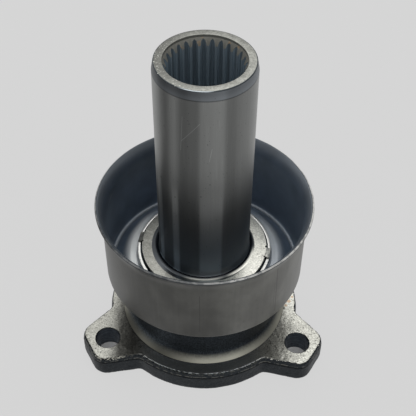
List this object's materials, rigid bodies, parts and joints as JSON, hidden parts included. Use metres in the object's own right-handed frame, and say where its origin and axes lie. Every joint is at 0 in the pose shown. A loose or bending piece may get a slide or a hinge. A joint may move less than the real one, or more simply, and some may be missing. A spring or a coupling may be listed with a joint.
{
  "type": "transmission yoke",
  "caption": "Slip yoke for a gearbox output shaft: a splined, ground barrel on a lugged coupling flange, with a pressed dust shield staked round its foot.",
  "frame": {"origin": "centre of the flange's bolting face, on the axis of the bolt circle", "axes": "+Z along the barrel's axis towards its open, splined mouth; one lug points along +Y"},
  "size_m": [0.1058, 0.1021, 0.1429],
  "materials": {
    "ground_steel": "ground bright",
    "forged_steel": "forged and shot-blasted, turned on the hub",
    "pressed_steel": "drawn sheet, dark and oiled",
    "plated_steel": "plated",
    "bush_steel": "drawn tube",
    "bush_rubber": "moulded",
    "bush_bronze": "sintered",
    "spring_steel": "blued"
  },
  "bodies": {
    "root": {"barrel": "ground_steel", "flange": "forged_steel", "dust_shield": "pressed_steel", "core_plug": "plated_steel", "bush_shell": "bush_steel", "bush_rubber": "bush_rubber", "bush_sleeve": "bush_bronze", "retaining_ring": "spring_steel"}
  },
  "joints": []
}
